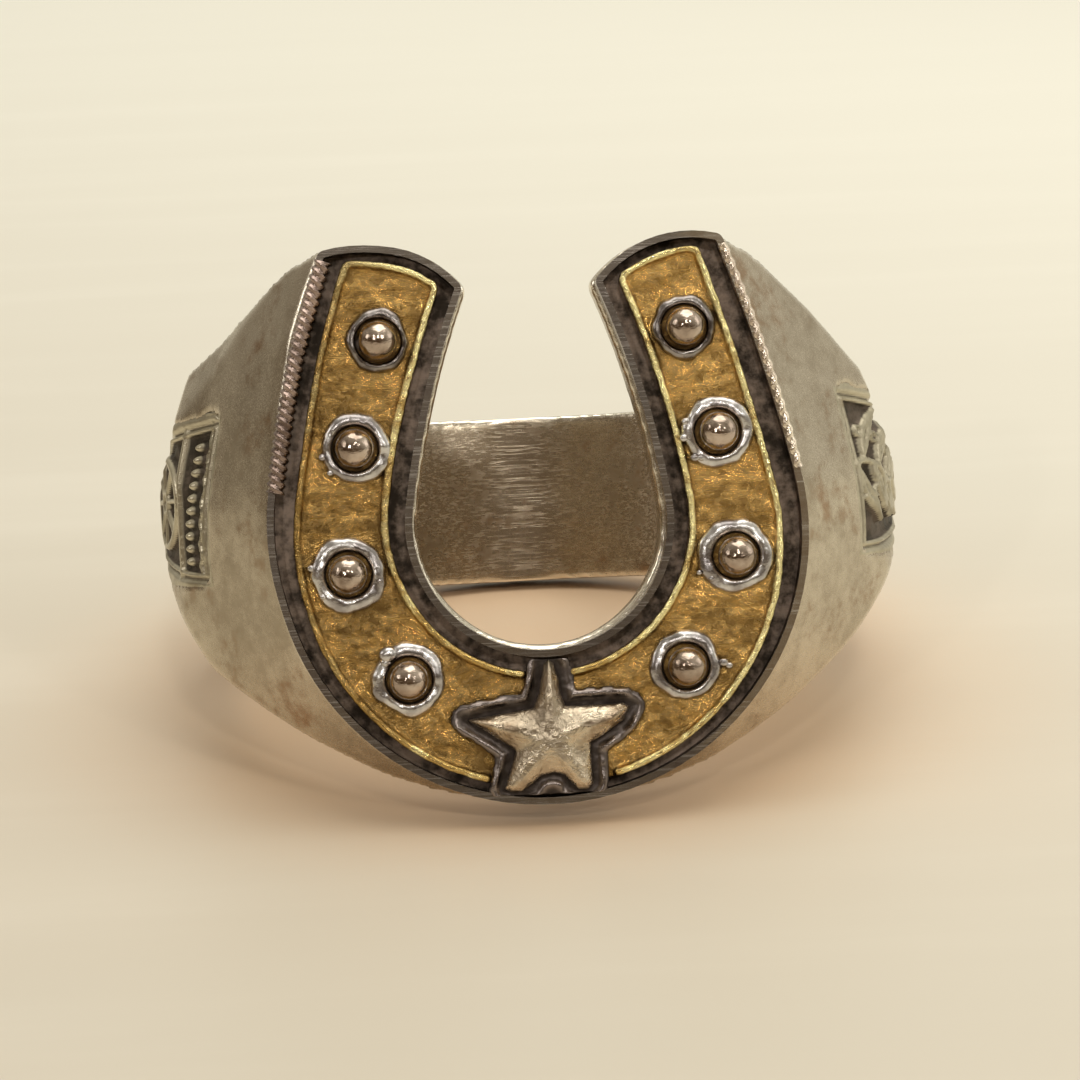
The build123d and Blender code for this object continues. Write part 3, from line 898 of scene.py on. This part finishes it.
# %% Drawings
def wheel_drawing():
    hub = Vector((3.55, 0.1))
    lines = [(0.12, curve(12, lambda share: (1.75, -2.4 + 4.8 * share))),
             (0.08, curve(24, lambda share: (0.42 + 0.06 * math.sin(share * 40), -2.3 + 4.6 * share))),
             (0.14, arc(*hub, 1.5, 0, 360, steps=36)),
             (0.13, arc(*hub, 0.36, 0, 360)),
             (0.11, arc(*hub, 2.15, -62, 62, steps=24))]
    for spoke in range(8):
        angle = math.radians(45 * spoke)
        way = Vector((math.cos(angle), math.sin(angle)))
        lines.append((0.1, [(hub + way * (0.36 + 0.28 * step), hub + way * (0.64 + 0.28 * step)) for step in range(4)]))
    return lines, [(Vector((1.04, -1.95 + 0.42 * step)), 0.18) for step in range(10)]


def leaf(start, turn, length, bend):
    """One leaf as short strokes of their own width: two rounded halves with a vein between them."""
    way = Vector((math.cos(turn), math.sin(turn)))
    side = Vector((-way.y, way.x))
    strokes = []
    for half in (-1, 1):
        def outline(share, half=half):
            return start + way * length * share + side * (bend * share ** 2 + half * 0.14 * math.sin(math.pi * share))
        for step, stroke in enumerate(curve(7, outline)):
            strokes.append((0.05 + 0.08 * math.sin(math.pi * (step + 0.5) / 7), [stroke]))
    return strokes


def leaf_drawing():
    def stem(share):
        return 0.2 + 6.6 * share, 0.35 * math.sin(share * 1.8 * math.tau + 0.6)

    lines = [(0.13, curve(60, stem))]
    for number in range(16):
        start = Vector(stem(0.01 + 0.058 * number))
        side = 1 if number % 2 else -1
        lines += leaf(start, side * (1.35 - 0.035 * number), 2.1 - 0.08 * number, side * -0.75)
        lines.append((0.07, arc(start.x + 0.12, start.y + side * 1.0, 0.16, 0, 300, steps=8)))
    return lines, []


# %% Carve the panels
def surfaces(node):
    """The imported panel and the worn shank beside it, ready to be touched from outside."""
    whole = copied(node, RING_TO_SCENE)
    beside = bmesh.new()
    beside.from_mesh(shank.data)
    bmesh.ops.transform(beside, matrix=RING_TO_SCENE.inverted(), verts=beside.verts)
    return [BVHTree.FromBMesh(form) for form in (whole, beside)]


def touch(trees, side, y, z):
    """How far out from the ring's middle the silver reaches at this place."""
    hits = [tree.ray_cast(Vector((20 * side, y, z)), Vector((-side, 0, 0)))[0] for tree in trees]
    return max((abs(hit.x) for hit in hits if hit), default=0.0)


def bridged(trees, side, y, z):
    """The same, but across the narrow seam between panel and shank."""
    pairs = [((y - 0.3, z), (y + 0.3, z)), ((y, z - 0.45), (y, z + 0.45))]
    across_seam = [sum(touch(trees, side, *place) for place in pair) / 2 for pair in pairs]
    direct = touch(trees, side, y, z)
    return direct if direct > max(across_seam) - 0.03 else max(across_seam)


def cartouche_edge(spot):
    """How far inside the carved field a spot lies: it is straight at the front and round behind."""
    length, half = CARTOUCHE
    along, wide = abs(spot.x) / length + 0.001, abs(spot.y) / half + 0.001
    inside = 1 - along ** CARTOUCHE_POWER - wide ** CARTOUCHE_POWER
    power = CARTOUCHE_POWER - 1
    slope = CARTOUCHE_POWER * math.hypot(along ** power / length, wide ** power / half)
    return min(spot.x - CARTOUCHE_START, inside / max(slope, 0.05))


def frame_height(edge):
    """The thin raised frame of the carved field, with a fine groove along its outer side."""
    frame = min(1.0, max(0.0, 1 - (edge - FRAME_WIDTH) / 0.07))
    return frame - 0.6 * math.exp(-((edge + 0.04) / 0.07) ** 2)


def make_panel(side, name, drawing):
    node = "panel_right" if side > 0 else "panel_left"
    trees = surfaces(node)
    lines, beads = drawing
    form = bmesh.new()
    bmesh.ops.create_grid(form, x_segments=CARVE_STEPS[0], y_segments=CARVE_STEPS[1], size=1)
    carved = form.verts.layers.float.new("carved")
    close_lines = {}
    for vertex in form.verts:
        share = (vertex.co.x + 1) / 2
        half = PANEL_FRONT + (PANEL_BACK - PANEL_FRONT) * share + PANEL_OVERLAP[1]
        length = PANEL_LENGTH + 2 * PANEL_OVERLAP[0]
        spot = Vector((length * share - PANEL_OVERLAP[0], half * vertex.co.y))
        column = (round(spot.x), round(spot.y))
        if column not in close_lines:
            close_lines[column] = near(lines, Vector(column), 1.6)
        found = [(width, strokes) for width, strokes in close_lines[column] if strokes]
        height = max(frame_height(cartouche_edge(spot)), lift(spot, found, beads))
        wobble = 0.05 * noise.noise(Vector((spot.x, spot.y, side)) * 1.3)
        y, z = PANEL_OFFSET + spot.y, PANEL_TOP - spot.x
        rim = min(1 - abs(vertex.co.x), (1 - abs(vertex.co.y)) / 2) * 40
        skin = 0.012 if rim > 1 else -0.02
        depth = GROUND * (1 - 0.75 * share_of(spot.x, *GROUND_RISES)) + wobble
        x = bridged(trees, side, y, z) + skin - depth * (1 - height)
        vertex.co = Vector((side * x, y, z))
        vertex[carved] = 1 - height
    bmesh.ops.smooth_vert(form, verts=[v for v in form.verts if not v.is_boundary], factor=0.4,
                          use_axis_x=True, use_axis_y=True, use_axis_z=True)
    walls = bmesh.ops.extrude_edge_only(form, edges=[edge for edge in form.edges if edge.is_boundary])["geom"]
    feet = [geom for geom in walls if isinstance(geom, bmesh.types.BMVert)]
    bmesh.ops.translate(form, verts=feet, vec=(-0.9 * side, 0, 0))
    back = bmesh.ops.contextual_create(form, geom=[edge for edge in form.edges if edge.is_boundary])["faces"]
    bmesh.ops.triangulate(form, faces=back)
    return finished(name, form, panel_silver, [node], RING_TO_SCENE)


panel_left = make_panel(-1, "wheel_panel", wheel_drawing())
panel_right = make_panel(1, "leaf_panel", leaf_drawing())

# %% [markdown]
# ## Bench, light and camera
# Jewellery is shown on pale card, painted brighter towards its far side as painted light, with a painted warm
# shadow round the ring. Silver shows what is round it, so the light is large and soft: one broad lamp above, a
# weaker one on each side, and a dim warm room in front that gives the face its middle tones.
# Three small lamps in front put a spark on every ball and rim.

# %% Bench
FLOOR_SIZE = 3.0


def make_bench():
    bench_mesh = bpy.data.meshes.new("bench")
    form = bmesh.new()
    bmesh.ops.create_grid(form, x_segments=1, y_segments=1, size=FLOOR_SIZE / 2)
    bmesh.ops.translate(form, verts=form.verts, vec=(0, 0, cad_low.z))
    form.to_mesh(bench_mesh)
    form.free()
    bench = bpy.data.objects.new("bench", bench_mesh)
    bpy.context.scene.collection.objects.link(bench)
    return bench


card = Finish("pale_card", Roughness=0.42)
streaks = card.noise(7.0, card.turned((0, 0, 4), (0.12, 1.0, 1.0)), detail=4.0)
# Painted light: the card is painted paler towards the far right and darker towards the near left.
painted_light_far_side = card.fade(card.along(Vector((0.62, 0.78, 0))) + 14 * streaks, -63.0, 142.0)
card_colour_and_painted_light = card.blend(painted_light_far_side, (0.60, 0.545, 0.445), (0.95, 0.945, 0.845))
card_colour_and_painted_light = card.blend(card.fade(streaks, 0.45, 0.75) * 0.09, card_colour_and_painted_light, (0.97, 0.95, 0.86))
# Painted shadow: the card is painted warm brown where the ring closes it in, for the ring's shadow and the warm light
# that the metal throws back.
card_colour_and_painted_light = card.blend(card.fade(card.crevices(16), 0.03, 0.5) * 0.85, card_colour_and_painted_light, (0.80, 0.56, 0.35))
card.wear(card_colour_and_painted_light, None, None, card.bump(card.noise(0.6, detail=4.0), 0.006))
bench = make_bench()
bench.data.materials.append(card.material)
print("bench at", round(1000 * cad_low.z, 3), "mm")

# %% Lamps and room


def add_lamp(name, place, size, power, colour=(1.0, 0.96, 0.9)):
    """A square soft lamp that faces the ring."""
    light = bpy.data.lights.new(name, "AREA")
    light.size = size
    light.energy = power
    light.color = colour
    lamp = bpy.data.objects.new(name, light)
    bpy.context.scene.collection.objects.link(lamp)
    lamp.location = place
    lamp.rotation_euler = (Vector(place) * -1).to_track_quat("-Z", "Y").to_euler()
    return lamp


add_lamp("top_lamp", (0.05, 0.05, 0.40), 0.36, 0.94)
add_lamp("right_lamp", (0.36, -0.02, 0.16), 0.18, 0.10)
add_lamp("left_lamp", (-0.36, -0.10, 0.20), 0.12, 0.12)
add_lamp("small_lamp", (0.02, -0.26, 0.23), 0.025, 0.13)
add_lamp("second_small_lamp", (-0.12, -0.28, 0.14), 0.012, 0.08)
add_lamp("third_small_lamp", (0.16, -0.26, 0.18), 0.014, 0.08)

room = bpy.data.worlds.new("room")
room.use_nodes = True
air = Recipe(room.node_tree, "Generated")
light_from = {}
for axis in "XYZ":
    light_from[axis] = air.node("ShaderNodeSeparateXYZ", {}, {"Vector": air.place}, output=axis)
brightness = air.fade(light_from["X"] * 0.32 + light_from["Z"] * 0.6 + light_from["Y"] * 0.5, -0.38, 0.95)
seen = air.node("ShaderNodeLightPath", {}, {}, output="Is Camera Ray")
walls = air.blend(brightness, (0.12, 0.08, 0.045), (0.76, 0.72, 0.61))
walls = air.blend(seen, walls, (0.88, 0.86, 0.76))
air.tree.links.new(walls.socket, room.node_tree.nodes["Background"].inputs["Color"])
bpy.context.scene.world = room

# %% Camera
VIEW_DISTANCE = 0.1
LENS = 105
SIDE_STEP = 2.0
ROLL = 2.8
AIM_BELOW = 0.7

back = (outward - across * math.tan(math.radians(SIDE_STEP))).normalized()
sideways = up.cross(back).normalized()
upright = back.cross(sideways)
turn = math.radians(ROLL)
camera_x = sideways * math.cos(turn) - upright * math.sin(turn)
camera_y = sideways * math.sin(turn) + upright * math.cos(turn)
aim = face_middle - camera_y * AIM_BELOW * MM
pose = Matrix((camera_x, camera_y, back)).transposed().to_4x4()
pose.translation = aim + back * VIEW_DISTANCE
camera = bpy.data.objects.new("camera", bpy.data.cameras.new("camera"))
camera.data.lens = LENS
camera.data.clip_start = 0.005
camera.matrix_world = pose
bpy.context.scene.collection.objects.link(camera)
bpy.context.scene.camera = camera
bpy.context.scene.view_settings.view_transform = "Standard"
print("camera", [round(1000 * value, 1) for value in camera.location], "mm")
